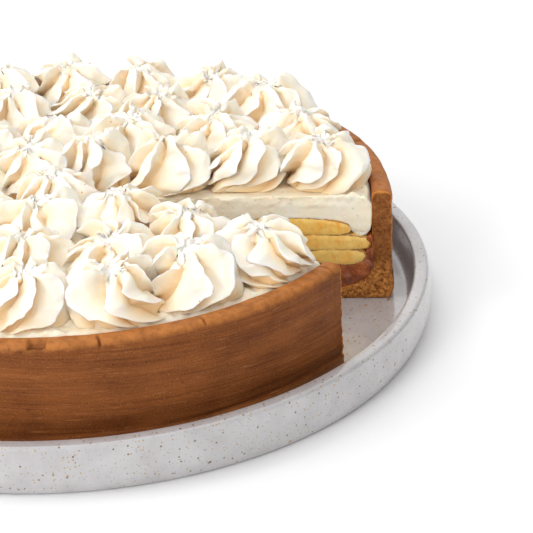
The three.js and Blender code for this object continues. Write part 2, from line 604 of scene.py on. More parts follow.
    def step(self, operation: str, first: Socket | float, second: Socket | float) -> Socket:
        """One arithmetic step on two values.

        Args:
            operation: the step's name.
            first: the first value.
            second: the second value.

        Returns:
            The result.
        """
        node = self.add("ShaderNodeMath", {"operation": operation})
        self.feed(node.inputs[0], first)
        self.feed(node.inputs[1], second)
        return node.outputs[0]

    def plus(self, first: Socket | float, second: Socket | float) -> Socket:
        """The sum of two values."""
        return self.step("ADD", first, second)

    def less(self, first: Socket | float, second: Socket | float) -> Socket:
        """The first value without the second."""
        return self.step("SUBTRACT", first, second)

    def times(self, first: Socket | float, second: Socket | float) -> Socket:
        """The product of two values."""
        return self.step("MULTIPLY", first, second)

    def weighed(self, *parts: tuple[Socket, float]) -> Socket:
        """The sum of some values, each times its own weight."""
        return reduce(self.plus, [self.times(value, weight) for value, weight in parts])

    def mark(self, name: str) -> Socket:
        """A value that the mesh gives for each vertex."""
        return self.add("ShaderNodeAttribute", {"attribute_name": name}).outputs["Fac"]

    def bump(self, height: Socket, depth: float, below: Socket | None = None) -> Socket:
        """Relief too fine for the mesh.

        Args:
            height: its height, as a share of its depth.
            depth: its depth, in millimetres.
            below: the relief that it lies on.

        Returns:
            The bent normal.
        """
        node = self.add("ShaderNodeBump", Height=height, Strength=1.0, Distance=depth * MM)
        if below is not None:
            self.feed(node.inputs["Normal"], below)
        return node.outputs["Normal"]

    def finish(self, **sockets: object) -> bpy.types.Material:
        """Sets the surface's sockets.

        Args:
            sockets: values or outputs of other nodes, by name with _ for a space.

        Returns:
            The material.
        """
        for key, value in sockets.items():
            self.feed(self.surface.inputs[key.replace("_", " ")], value)
        return self.material


@dataclass(frozen=True)
class WhippedCream:
    """Ivory whipped cream, for the rosettes and for the filling, with painted shade in its creases
    and along the top of a cut face, and painted highlights on the rosettes' crests.
    """

    name: str
    light: Colour = paint(255, 248, 236)
    warm: Colour = paint(255, 242, 222)
    # painted shade: the warm colour painted into creases and hollows
    deep: Colour = paint(255, 216, 158)
    # painted highlight: the near-white painted along the crests
    crest: Colour = paint(255, 253, 250)
    yolk: Colour = paint(240, 182, 84)
    sliced: bool = False  # whether its pores show on a cut face
    grain_depth: float = 0.05
    ripple_depth: float = 0.12
    pore_depth: float = 0.5

    def pores(self, b: Bench, below: Socket) -> Socket:
        """The pores of a cut face.

        Args:
            b: the material's bench.
            below: the relief that they lie in.

        Returns:
            The bent normal.
        """
        hole = b.ramp(b.cells(1.5).outputs["Distance"], [(0.05, 1.0), (0.3, 0.0)])
        picked = b.ramp(b.noise(2.2, 2), [(0.5, 0.0), (0.62, 1.0)])
        hollow = b.times(b.times(b.mark("cut"), picked), hole)
        return b.bump(b.times(hollow, -1.0), self.pore_depth, below)

    def make(self) -> bpy.types.Material:
        """Builds the material.

        Returns:
            The material.
        """
        b = Bench(self.name)
        cloud = b.ramp(b.noise(9, 4, 0.6), [(0.35, 0.0), (0.7, 1.0)])
        colour = b.mix(cloud, self.light, self.warm)
        relief = b.bump(b.noise(0.9, 3, 0.6), self.grain_depth)
        relief = b.bump(b.noise(3.5, 2, 0.5), self.ripple_depth, relief)
        if self.sliced:
            # painted shade: patches of the deep colour along the top edge of the cut face
            spread = b.rise(SIZES.cream_z - 1.6, SIZES.cream_z - 0.4)
            painted_shading = b.times(spread, b.ramp(b.noise(2.6, 3), [(0.36, 0.55), (0.56, 0.1)]))
            relief = self.pores(b, relief)
        else:
            # painted shading: 1 in the creases and round the rosette's foot, 0 on its crests
            painted_shading = b.mark("painted_shading")
            # painted highlight: the crests are painted near-white
            colour = b.mix(b.ramp(painted_shading, [(0.0, 0.7), (0.14, 0.0)]), colour, self.crest)
        # painted shade: the deep warm colour where the painted shading is high
        colour = b.mix(b.ramp(painted_shading, [(0.28, 0.0), (1.0, 0.75)]), colour, self.deep)
        colour = b.mix(b.spots(5.5, 0.05, 0.075, left=0.86), colour, self.yolk)
        return b.finish(
            Base_Color=colour,
            Roughness=0.42,
            Specular_IOR_Level=0.35,
            Subsurface_Weight=0.5,
            Subsurface_Radius=(1.0, 0.7, 0.45),
            Subsurface_Scale=0.0016,
            Normal=relief,
        )


@dataclass(frozen=True)
class BakedPastry:
    """Chocolate-brown pastry, smooth and streaked outside, crumbly where it is cut."""

    name: str = "baked_pastry"
    skin: Colour = paint(142, 82, 38)
    dark: Colour = paint(100, 52, 19)
    pale: Colour = paint(192, 132, 80)
    rim: Colour = paint(198, 126, 64)
    crumb_light: Colour = paint(220, 152, 80)
    crumb_dark: Colour = paint(124, 68, 30)
    crumb_brown: Colour = paint(150, 94, 52)
    crumb_edge: Colour = paint(214, 138, 64)
    grain_depth: float = 0.12
    line_depth: float = 0.12
    pore_depth: float = 0.35

    def baked_skin(self, b: Bench) -> Socket:
        """The colour of the outside: fine slanted lines, soft bands, a paler rim that is partly
        painted light on its top, and a paler foot that is partly painted light on the low wall.

        Args:
            b: the material's bench.

        Returns:
            The colour.
        """
        line = b.noise(1, 3, 0.62, b.leaning((30, 30, 0.7), 0.05))
        band = b.noise(1, 2, 0.5, b.leaning((60, 60, 6.5), 0.04))
        cloud = b.noise(16, 3, 0.5)
        grit = b.noise(0.5, 2, 0.6)
        tone = b.weighed((line, 0.3), (band, 0.24), (cloud, 0.22), (grit, 0.24))
        skin = b.mix(b.ramp(tone, [(0.41, 0.0), (0.58, 1.0)]), self.dark, self.skin)
        scratch = b.noise(1, 3, 0.7, b.leaning((16, 16, 0.5), 0.07))
        skin = b.mix(b.ramp(scratch, [(0.27, 0.5), (0.36, 0.0)]), skin, self.dark)
        scuff = b.noise(1, 3, 0.7, b.leaning((9, 9, 0.5), 0.03))
        skin = b.mix(b.ramp(scuff, [(0.63, 0.0), (0.7, 0.5)]), skin, self.pale)
        skin = b.mix(b.spots(1.0, 0.1, 0.2, left=0.5, strength=0.55), skin, self.pale)
        ragged = b.plus(b.height(), b.times(b.noise(4, 4, 0.6), 3 * MM))
        # a paler rim: partly the lip's own paler crust, partly painted light on its upturned top
        lip = b.rise(SIZES.rim_z - 1.8, SIZES.rim_z + 0.8, ragged)
        patchy = b.ramp(b.noise(3.2, 5, 0.6), [(0.34, 0.35), (0.66, 0.85)])
        skin = b.mix(b.times(lip, patchy), skin, self.rim)
        # a paler band below the seam: partly the crust's own paler foot, partly painted light that
        # lifts the shade on the low wall
        seam_z = SIZES.base_z + SIZES.seam
        foot = b.less(1.0, b.rise(seam_z - 0.5, seam_z + 1.3, ragged))
        return b.mix(b.times(foot, 0.4), skin, self.pale)

    def crumb(self, b: Bench) -> Socket:
        """The colour of the inside: golden and open at the foot, browner and denser above.

        Args:
            b: the material's bench.

        Returns:
            The colour.
        """
        grain = b.noise(1.5, 5, 0.75)
        crumb = b.mix(b.ramp(grain, [(0.38, 0.0), (0.6, 1.0)]), self.crumb_dark, self.crumb_light)
        close = b.mix(b.ramp(grain, [(0.3, 0.0), (0.7, 1.0)]), self.dark, self.crumb_brown)
        crumb = b.mix(b.times(b.rise(16, 28), 0.85), crumb, close)
        holes = b.spots(1.3, 0.12, 0.3, left=0.5, strength=0.8, faint=0.05)
        crumb = b.mix(holes, crumb, self.crumb_dark)
        rough = b.plus(b.mark("inset"), b.times(b.noise(1.4, 3), 0.8))
        return b.mix(b.ramp(rough, [(0.4, 0.85), (0.95, 0.0)]), crumb, self.crumb_edge)

    def make(self) -> bpy.types.Material:
        """Builds the material.

        Returns:
            The material.
        """
        b = Bench(self.name)
        cut = b.mark("cut")
        colour = b.mix(cut, self.baked_skin(b), self.crumb(b))
        relief = b.bump(b.noise(0.5, 3, 0.6), self.grain_depth)
        lines = b.noise(1, 4, 0.6, b.leaning((20, 20, 0.8), 0.06))
        relief = b.bump(lines, self.line_depth, relief)
        pore = b.ramp(b.cells(5.0).outputs["Distance"], [(0.03, 0.0), (0.09, 1.0)])
        relief = b.bump(pore, self.pore_depth, relief)
        rough = b.plus(0.44, b.weighed((b.noise(6, 3), 0.2), (cut, 0.3)))
        return b.finish(
            Base_Color=colour, Roughness=rough, Specular_IOR_Level=0.16, Normal=relief,
        )


@dataclass(frozen=True)
class SoftToffee:
    """Wet, lumpy brown toffee."""

    name: str = "soft_toffee"
    light: Colour = paint(188, 98, 32)
    dark: Colour = paint(124, 56, 12)
    lump_depth: float = 1.3

    def make(self) -> bpy.types.Material:
        """Builds the material.

        Returns:
            The material.
        """
        b = Bench(self.name)
        swirl = b.ramp(b.noise(7, 4, 0.55), [(0.36, 0.0), (0.66, 1.0)])
        colour = b.mix(swirl, self.dark, self.light)
        wet = b.bump(b.noise(2.1, 3, 0.55), self.lump_depth)
        return b.finish(
            Base_Color=colour,
            Roughness=0.2,
            Specular_IOR_Level=0.4,
            Coat_Weight=0.5,
            Coat_Roughness=0.03,
            Subsurface_Weight=0.15,
            Subsurface_Radius=(1.0, 0.4, 0.15),
            Subsurface_Scale=0.003,
            Normal=wet,
        )


@dataclass(frozen=True)
class RipeBanana:
    """Moist yellow banana flesh with fine fibres and thin brown edges."""

    name: str = "ripe_banana"
    flesh: Colour = paint(255, 214, 120)
    deep: Colour = paint(255, 172, 44)
    edge: Colour = paint(146, 92, 42)
    seed: Colour = paint(96, 60, 30)
    fibre_depth: float = 0.4

    def make(self) -> bpy.types.Material:
        """Builds the material.

        Returns:
            The material.
        """
        b = Bench(self.name)
        fibres = b.noise(1, 5, 0.65, b.stretched((1.8, 1.8, 5.0)))
        tone = b.ramp(fibres, [(0.34, 0.0), (0.66, 1.0)])
        cloud = b.ramp(b.noise(8, 3), [(0.35, 0.0), (0.7, 1.0)])
        colour = b.mix(b.times(tone, cloud), self.flesh, self.deep)
        ragged = b.less(b.mark("inset"), b.noise(1.8, 3))
        colour = b.mix(b.ramp(ragged, [(0.0, 0.8), (0.12, 0.0)]), colour, self.edge)
        colour = b.mix(b.spots(4.5, 0.05, 0.1, left=0.6, strength=0.7), colour, self.seed)
        relief = b.bump(fibres, self.fibre_depth)
        return b.finish(
            Base_Color=colour,
            Roughness=0.32,
            Specular_IOR_Level=0.5,
            Subsurface_Weight=0.25,
            Subsurface_Radius=(1.0, 0.6, 0.2),
            Subsurface_Scale=0.003,
            Coat_Weight=0.25,
            Coat_Roughness=0.15,
            Normal=relief,
        )


@dataclass(frozen=True)
class Speck:
    """One kind of speck in the glaze."""

    spacing: float
    radius: float  # as a share of the spacing
    left: float  # the share that is left out
    colour: Colour


@dataclass(frozen=True)
class SpeckledStoneware:
    """Pale grey glaze with brown, tan and grey specks of several sizes."""

    name: str = "speckled_stoneware"
    glaze: Colour = paint(191, 188, 189)
    shade: Colour = paint(177, 173, 174)
    specks: tuple[Speck, ...] = (
        Speck(1.2, 0.19, 0.35, paint(152, 147, 140)),
        Speck(1.8, 0.19, 0.5, paint(172, 146, 92)),
        Speck(2.5, 0.15, 0.5, paint(118, 88, 36)),
        Speck(8.0, 0.09, 0.5, paint(166, 118, 42)),
        Speck(7.0, 0.08, 0.55, paint(82, 55, 16)),
    )
    pool_depth: float = 0.5
    grain_depth: float = 0.03

    def make(self) -> bpy.types.Material:
        """Builds the material.

        Returns:
            The material.
        """
        b = Bench(self.name)
        cloud = b.ramp(b.noise(11, 5, 0.6), [(0.35, 0.0), (0.68, 1.0)])
        colour = b.mix(cloud, self.glaze, self.shade)
        for speck in self.specks:
            spots = b.spots(
                speck.spacing, 0.8 * speck.radius, 1.2 * speck.radius, speck.left,
                ragged=speck.radius,
            )
            colour = b.mix(spots, colour, speck.colour)
        pool = b.bump(b.noise(16, 2), self.pool_depth)
        grain = b.bump(b.noise(1.2, 3, 0.6), self.grain_depth, pool)
        return b.finish(
            Base_Color=colour,
            Roughness=0.3,
            Specular_IOR_Level=0.7,
            Coat_Weight=1.0,
            Coat_Roughness=0.05,
            Normal=grain,
        )


# ---- the dish -----------------------------------------------------------------------------
@dataclass
class Dish:
    """The low stoneware dish that the pie stands in."""

    height: float = 20.4
    foot: float = 140.5
    inside: float = 138.6
    floor: float = 6.6
    lip: float = 1.7
    edge: float = 1.3
    corner: float = 4.0
    # heights, and the outside wall's radius there
    wall: tuple = ((1.3, 143.1), (4.0, 144.3), (8.0, 145.1), (12.0, 145.3), (16.0, 145.1),
                   (18.6, 144.7))
    columns: int = 360
    sway_out: float = 0.25
    sway_up: float = 0.2
    sway: Relief = field(default_factory=lambda: Relief(3))

    def section(self) -> np.ndarray:
        """Draws the dish's half section.

        Returns:
            The points, from the middle of its underside to the middle of its floor.
        """
        (low, _), (high, lip_r) = self.wall[0], self.wall[-1]
        heights = np.linspace(low, high, 16)
        wall = np.stack([curve_through(list(self.wall), heights)[:, 0], heights], 1)
        foot = [(self.foot, 0.0), (self.foot + 1.2, 0.12), (self.foot + 2.1, 0.6)]
        lip = arc((lip_r - self.lip, self.height - self.lip), self.lip, 12, 84, 8)
        edge = arc((self.inside + self.edge, self.height - self.edge), self.edge, 96, 180, 8)
        top = [(r, self.height + 0.05) for r in np.linspace(lip[-1, 0], edge[0, 0], 4)[1:-1]]
        face = [(self.inside - 0.1, 16.0), (self.inside - 0.3, 12.6)]
        corner_r, corner_z = self.inside - 0.3 - self.corner, self.floor + self.corner
        corner = arc((corner_r, corner_z), self.corner, 0, -90, 9)
        underside = [(r, 0.0) for r in np.linspace(0.01, self.foot - 1, 10)]
        floor = [(r, self.floor) for r in np.linspace(self.inside - 6, 0.01, 24)]
        return np.vstack([underside, foot, wall, lip, top, edge, face, corner, floor])

    def build(self, stoneware: bpy.types.Material) -> bpy.types.Object:
        """Turns the section into the dish, very slightly uneven as hand-thrown work is.

        Args:
            stoneware: its material.

        Returns:
            The dish.
        """
        section = self.section()
        azimuth = np.arange(self.columns) / self.columns * FULL_TURN
        _, z, a, grid = turned(section, azimuth)
        sway = self.sway.at(grid.reshape(-1, 3), (70, 70, 30)).reshape(z.shape)
        sway = sway * smooth_step(z, 1.0, 9.0)
        out = self.sway_out * sway
        grid = grid + np.stack([out * np.cos(a), out * np.sin(a), self.sway_up * sway], -1)
        quads = grid_quads(len(section), self.columns, wrap=True)
        return make_piece("stoneware_dish", grid.reshape(-1, 3), [quads], stoneware)


# ---- pieces with cut faces ----------------------------------------------------------------
WallShape = Callable[[np.ndarray, np.ndarray, np.ndarray], np.ndarray]
FaceShape = Callable[[np.ndarray, np.ndarray, CutFace], np.ndarray]


@dataclass
class CutRing:
    """A layer of the pie: a section turned round it, open where the slice is missing.

    The wall is a grid of section points by columns, and each end is closed with a fine cut
    face, so relief can be worked into both.
    """

    name: str
    outline: np.ndarray
    columns: int
    face_spacing: float
    seed: int
    settles: bool = True
    wall_relief: WallShape | None = None
    wall_cut: WallShape | None = None
    face_relief: FaceShape | None = None
    # azimuths and widths in degrees of the places where the columns crowd together
    crowded: tuple = ()
    end_columns: int = 10
    crowding: float = 4.0  # how many more columns there are in such a place
    scatter: float = 0.3  # how far the face's points stray, as a share of their spacing
    clearance: float = 0.45  # how near its outline they come, as a share of that too
    edge_width: float = 2.2  # how much of the wall follows the cut face's relief
    edge_lift: float = 1.2
    buried: float = 9.0  # the mark "inset" where the wall isn't cut

    def azimuths(self) -> np.ndarray:
        """Spaces the columns, closer together where there is more to show.

        Returns:
            The columns' directions, from the far cut round to the near one.
        """
        gap = SIZES.half_gap
        even = np.linspace(gap, FULL_TURN - gap, 6000)
        crowd = np.ones_like(even)
        for place, width in self.crowded:
            away = (even - math.radians(place % 360)) / math.radians(width)
            crowd += self.crowding * np.exp(-(away**2))
        share = np.r_[0, np.cumsum((crowd[1:] + crowd[:-1]) / 2)]
        even = np.interp(np.linspace(0, share[-1], self.columns), share, even)
        step = min(even[1] - even[0], even[-1] - even[-2])
        share = (np.arange(1, self.end_columns) / self.end_columns) ** 2
        near = gap + share * step
        far = FULL_TURN - gap - share[::-1] * step
        return np.concatenate([even[:1], near, even[1:-1], far, even[-1:]])

    def inner_points(self) -> np.ndarray:
        """Scatters points over the section.

        Returns:
            Uneven points all over it, none too close to its outline.
        """
        draw = np.random.default_rng(self.seed)
        low, high = self.outline.min(0), self.outline.max(0)
        count = np.ceil((high - low) / self.face_spacing).astype(int) + 1
        r, z = np.meshgrid(*(low[k] + np.arange(count[k]) * self.face_spacing for k in (0, 1)))
        points = np.stack([r.ravel(), z.ravel()], 1)
        stray = draw.uniform(-self.scatter, self.scatter, points.shape)
        points += stray * self.face_spacing
        return points[self.inset(points) > self.clearance * self.face_spacing]

    def inset(self, points: np.ndarray) -> np.ndarray:
        """How far points lie inside the outline, negative outside it.

        Args:
            points: places on the section, one row each.

        Returns:
            Distances in millimetres.
        """
        ahead = np.roll(self.outline, -1, axis=0)
        side = ahead - self.outline
        length = np.maximum((side**2).sum(1), 1e-12)
        nearest = np.full(len(points), np.inf)
        crossings = np.zeros(len(points), dtype=int)
        for (ar, az), (_, bz), (sr, sz), square in zip(self.outline, ahead, side, length):
            along = np.clip(((points[:, 0] - ar) * sr + (points[:, 1] - az) * sz) / square, 0, 1)
            gap_r = points[:, 0] - ar - along * sr
            gap_z = points[:, 1] - az - along * sz
            nearest = np.minimum(nearest, gap_r**2 + gap_z**2)
            spans = (az > points[:, 1]) != (bz > points[:, 1])
            if abs(bz - az) > 1e-12:
                meets = ar + (points[:, 1] - az) * sr / (bz - az)
                crossings += spans & (points[:, 0] < meets)
        return np.where(crossings % 2 == 1, 1, -1) * np.sqrt(nearest)

    def face_triangles(self) -> tuple[np.ndarray, np.ndarray]:
        """Triangles over the section.

        Returns:
            The points inside the outline, and triangles that number the outline's points first
            and those after them.
        """
        inner = self.inner_points()
        flat = np.vstack([self.outline, inner])
        border = len(self.outline)
        edges = [(i, (i + 1) % border) for i in range(border)]
        places, _, faces, sources, _, _ = delaunay_2d_cdt(
            [Vector(p) for p in flat], edges, [list(range(border))], 1, 1e-5
        )
        if len(places) != len(flat):
            raise ValueError(f"{self.name}: the section's points run into each other")
        source = np.array([s[0] for s in sources])
        return inner, source[np.array(faces)]

    def build(self, finish: bpy.types.Material) -> bpy.types.Object:
        """Makes the piece: its wall, its two cut faces, and the marks that its finish reads.

        Args:
            finish: its material.

        Returns:
            The piece.
        """
        azimuth = self.azimuths()
        rows, columns = len(self.outline), len(azimuth)
        r, z, a, grid = turned(self.outline, azimuth)
        if self.wall_relief:
            normals = grid_normals(grid, wrap_rows=True, wrap_columns=False)
            grid = grid + normals * self.wall_relief(r, z, a)[..., None]
        inner, triangles = self.face_triangles()
        inset = self.inset(inner)
        bare = self.wall_cut(r, z, a) if self.wall_cut else np.zeros_like(r)
        last = np.arange(columns - 1) + (rows - 1) * columns
        first = np.arange(columns - 1)
        closing = np.stack([last, last + 1, first + 1, first], 1)
        faces = [np.vstack([grid_quads(rows, columns, wrap=False), closing])]
        points = [grid.reshape(-1, 3)]
        start = rows * columns
        cut = [bare.ravel()]
        depth = [self.buried * (1 - bare.ravel())]
        for side, column in ((CutFace.FAR, 0), (CutFace.NEAR, columns - 1)):
            border = np.arange(rows) * columns + column
            angle = azimuth[column]
            outward = np.array([math.sin(angle), -math.cos(angle), 0.0]) * side.value
            place = np.stack(
                [inner[:, 0] * math.cos(angle), inner[:, 0] * math.sin(angle), inner[:, 1]], 1
            )
            points.append(place + outward * self.lift(inner, side)[:, None])
            near = np.clip(1 - np.abs(a - angle) * r / self.edge_width, 0, 1) ** 2
            near = near * smooth_step(r, 2, 8)
            rim_lift = self.edge_lift * self.lift(self.outline, side)[:, None] * near
            points[0] += (outward * rim_lift[..., None]).reshape(-1, 3)
            numbers = np.concatenate([border, start + np.arange(len(inner))])
            faces.append(numbers[triangles][:, :: side.value])
            start += len(inner)
            cut[0][border] = 1
            depth[0][border] = 0
            cut.append(np.ones(len(inner)))
            depth.append(inset)
        marks = {"cut": np.concatenate(cut), "inset": np.concatenate(depth)}
        return make_piece(self.name, self.settled(np.vstack(points)), faces, finish, marks)

    def settled(self, points: np.ndarray) -> np.ndarray:
        """Moves a layer's points up or down, as the soft filling has settled.

        Args:
            points: the points.

        Returns:
            The new points, the same ones where the layer is firm.
        """
        if not self.settles:
            return points
        radius = np.hypot(points[:, 0], points[:, 1])
        azimuth = np.arctan2(points[:, 1], points[:, 0])
        band = smooth_step(points[:, 2], SIZES.filling_z + 6, SIZES.filling_z + 11)
        band *= 1 - smooth_step(points[:, 2], SIZES.cream_z - 6, SIZES.cream_z - 2)
        points[:, 2] += band * settle(radius, azimuth)
        return points

    def lift(self, section: np.ndarray, side: CutFace) -> np.ndarray:
        """How far a cut face stands out.

        Args:
            section: places on the section.
            side: which face.

        Returns:
            Distances in millimetres.
        """
        if self.face_relief is None:
            return np.zeros(len(section))
        return self.face_relief(section, self.inset(section), side)


@dataclass
class PastryCase:
    """The baked case: a thin base, a thick crumbly corner and an upright wall."""

    columns: int = 560
    face_spacing: float = 0.52
    row: float = 0.62
    foot: float = 3.0
    rim_height: float = 3.4
    slant: float = 0.035  # how steeply the streaks climb
    lip_below: float = 5.4
    lip_depth: float = 0.4
    seam_width: float = 0.55
    foot_out: float = 0.45
    knife_away: float = 5.3
    knife_width: float = 0.4
    knife_depth: float = 0.45
    pit_depth: float = 0.7
    # azimuth in degrees, then half width, depth and height in millimetres
    cracks: tuple = ((-71.5, 3.3, 3.2, 2.0), (-61.7, 0.5, 1.7, 2.4), (-44.3, 0.5, 1.0, 0.8),
                     (-98.0, 0.5, 1.5, 2.4), (-84.0, 0.4, 1.0, 1.6), (40.0, 0.5, 1.3, 2.2),
                     (118.0, 2.6, 1.8, 1.6), (203.0, 0.5, 1.4, 2.4))
    # azimuth in degrees, then height and radius in millimetres
    pits: tuple = ((-62.2, 47.4, 0.5), (-73.4, 42.2, 0.5), (-45.1, 44.0, 0.45), (-61.3, 39, 0.4))
    bump: Relief = field(default_factory=lambda: Relief(11))
    crumb: Relief = field(default_factory=lambda: Relief(12))

    def outline(self) -> np.ndarray:
        """Draws the case's half section.

        Returns:
            The points, anticlockwise from the middle of its underside.
        """
        s = SIZES
        middle = 0.05
        underside = [(r, s.base_z) for r in np.linspace(middle, s.radius - self.foot - 2, 9)]
        foot = arc((s.radius - self.foot, s.base_z + self.foot), self.foot, -90, 0, 6)
        low, high = s.base_z + self.foot, s.rim_z - self.rim_height
        wall = [(s.radius, z) for z in np.arange(low + self.row, high - 0.3, self.row)]
        turn = np.radians(np.linspace(0, 180, 21))
        square = [np.sign(part) * np.abs(part) ** 0.66 for part in (np.cos(turn), np.sin(turn))]
        rim_r = s.radius - s.wall / 2 * (1 - square[0])
        rim = np.stack([rim_r, high + self.rim_height * square[1]], 1)
        corner_z = s.filling_z + s.corner_height
        inner = [(s.inner, z) for z in np.linspace(high - 2, corner_z + 2, 6)]
        corner = arc((s.corner_r, corner_z), (s.corner_width, s.corner_height), 0, -90, 9)
        floor = [(r, s.filling_z) for r in np.linspace(s.corner_r - 5, middle, 9)]
        return np.vstack([underside, foot, wall, rim, inner, corner, floor])

    def unrolled(self, r: np.ndarray, z: np.ndarray, a: np.ndarray) -> np.ndarray:
        """The wall laid flat: how far round, how far out and how high each point lies."""
        return np.stack([SIZES.radius * a, r, z], -1).reshape(-1, 3)

    def wall_relief(self, r: np.ndarray, z: np.ndarray, a: np.ndarray) -> np.ndarray:
        """Streaks, pores, the seam, cracks and the uneven rim of the outside.

        Args:
            r: how far each point is from the middle.
            z: its height.
            a: its azimuth.

        Returns:
            How far it stands out, in millimetres.
        """
        s = SIZES
        around = s.radius * a
        flat = self.unrolled(r, z, a)
        slanted = flat + self.slant * flat[:, :1] * np.array([0, 0, 1])

        def noise(size: float | Triple, points: np.ndarray = flat) -> np.ndarray:
            """The wall's noise, by row and column."""
            return self.bump.at(points, size).reshape(z.shape)

        outside = smooth_step(r, s.inner + 0.5, s.inner + 2.5)
        rim = smooth_step(z, s.rim_z - 4, s.rim_z - 1.5)
        streaks = 0.2 * noise((44, 60, 1.9), slanted) + 0.12 * noise((26, 60, 0.9), slanted)
        streaks += 0.3 * noise((70, 60, 4.5), slanted)
        out = (1 - 0.5 * rim) * streaks + 0.3 * noise(34)
        lip = s.rim_z - self.lip_below + 0.5 * noise((40, 60, 60))
        out -= self.lip_depth * np.exp(-(((z - lip) / 0.9) ** 2))
        out += rim * (0.3 * noise(7) + 0.12 * noise(2.4) + 0.35 * noise((24, 60, 30)))
        wander = s.base_z + s.seam + 0.6 * noise((30, 60, 60))
        seam = np.exp(-(((z - wander) / self.seam_width) ** 2))
        facing = np.cos(a - math.radians(-24))
        out -= (0.2 + 0.6 * smooth_step(facing, 0.86, 0.95)) * seam
        foot = smooth_step(wander - z, -0.4, 0.4) * smooth_step(z, s.base_z + 2, s.base_z + 5)
        out += self.foot_out * foot
        out -= self.knife_depth * self.knife_line(z, a)
        for azimuth, height, size in self.pits:
            along = around - s.radius * math.radians(azimuth % 360)
            out -= self.pit_depth * np.exp(-((along**2 + (z - height) ** 2) / size**2))
        return (out - self.scars(r, z, a)[0]) * outside

    def knife_line(self, z: np.ndarray, a: np.ndarray) -> np.ndarray:
        """The upright groove that the knife left beside the near cut.

        Args:
            z: each point's height.
            a: its azimuth.

        Returns:
            Shares of 0 to 1.
        """
        flat = np.stack([0 * z, 0 * z, z], -1).reshape(-1, 3)
        along = SIZES.radius * (a - FULL_TURN + SIZES.half_gap) + self.knife_away
        along = along + 0.5 * self.bump.at(flat, 9).reshape(z.shape)
        return np.exp(-((along / self.knife_width) ** 2)) * smooth_step(z, 20, 27)

    def scars(self, r: np.ndarray, z: np.ndarray, a: np.ndarray) -> tuple[np.ndarray, np.ndarray]:
        """The cracks and chips in the rim.

        Args:
            r: how far each point is from the middle.
            z: its height.
            a: its azimuth.

        Returns:
            How deep they go, in millimetres, and how bare the crumb lies in them, 0 to 1.
        """
        around = SIZES.radius * a
        wander = 0.5 * self.bump.at(self.unrolled(r, z, a), (60, 3, 3)).reshape(z.shape)
        deep, bare = np.zeros_like(z), np.zeros_like(z)
        for azimuth, width, depth, height in self.cracks:
            along = around - SIZES.radius * math.radians(azimuth % 360) + wander
            low = SIZES.rim_z - height + 1.2 * wander
            here = smooth_step(z, low - 0.7, low) * np.exp(-((along / width) ** 6))
            here = here * smooth_step(r, SIZES.inner + 2, SIZES.inner + 4.5)
            deep = deep + depth * here * (1 + 0.8 * wander)
            bare = np.maximum(bare, here)
        return deep, bare

    def bare_crumb(self, r: np.ndarray, z: np.ndarray, a: np.ndarray) -> np.ndarray:
        """Where the wall shows its crumb: in scars and along the two cuts.

        Args:
            r: how far each point is from the middle.
            z: its height.
            a: its azimuth.

        Returns:
            Shares of 0 to 1.
        """
        nearest = np.minimum(a - SIZES.half_gap, FULL_TURN - SIZES.half_gap - a) * r
        rough = self.crumb.rough(self.unrolled(r, z, a), 2.4, 2).reshape(z.shape)
        ragged = nearest + 0.6 * rough
        beside = 1 - smooth_step(ragged, 0.6, 1.1)
        beside = np.maximum(beside, self.knife_line(z, a))
        return np.maximum(beside, 0.8 * self.scars(r, z, a)[1])

    def face_relief(self, section: np.ndarray, inset: np.ndarray, side: CutFace) -> np.ndarray:
        """The crumb of a cut face.

        Args:
            section: places on the section.
            inset: how far they are from its edge.
            side: which face.

        Returns:
            How far they stand out, in millimetres.
        """
        depth = np.full(len(section), 40.0 * side.value)
        place = np.stack([section[:, 0], depth, section[:, 1]], 1)
        low = 1 - 0.5 * smooth_step(section[:, 1], 18, 30)
        coarse = 0.5 * self.crumb.rough(place, 4.5, 2)
        fine = 0.45 * self.crumb.rough(place + 50, 1.7, 2) * low
        holes = 1.2 * smooth_step(self.crumb.at(place - 31, 2.1), 0.36, 0.7) * low
        edge = 0.3 * (1 - smooth_step(inset, 0, 1.2))
        return coarse + fine - holes - edge

    def build(self, pastry: bpy.types.Material) -> bpy.types.Object:
        """Makes the case.

        Args:
            pastry: its material.

        Returns:
            The case.
        """
        crowded = [(azimuth, 1.8 if width > 1 else 0.8) for azimuth, width, _, _ in self.cracks]
        ring = CutRing(
            "pastry_case", self.outline(), self.columns, self.face_spacing, 21, settles=False,
            wall_relief=self.wall_relief, wall_cut=self.bare_crumb,
            face_relief=self.face_relief, crowded=(*crowded, (15.0, 2.0), (-15.0, 3.2)),
        )
        return ring.build(pastry)


# ---- the filling --------------------------------------------------------------------------
def grown(outline: np.ndarray, amount: float) -> np.ndarray:
    """Moves an anticlockwise outline's points outwards.

    Args:
        outline: the points.
        amount: how far, in millimetres.

    Returns:
        The new points.
    """
    tangent = np.roll(outline, -1, axis=0) - np.roll(outline, 1, axis=0)
    outward = np.stack([tangent[:, 1], -tangent[:, 0]], 1)
    outward /= np.maximum(np.linalg.norm(outward, axis=1, keepdims=True), 1e-9)
    moved = outline + amount * outward
    moved[:, 0] = np.maximum(moved[:, 0], 0.05)
    return moved


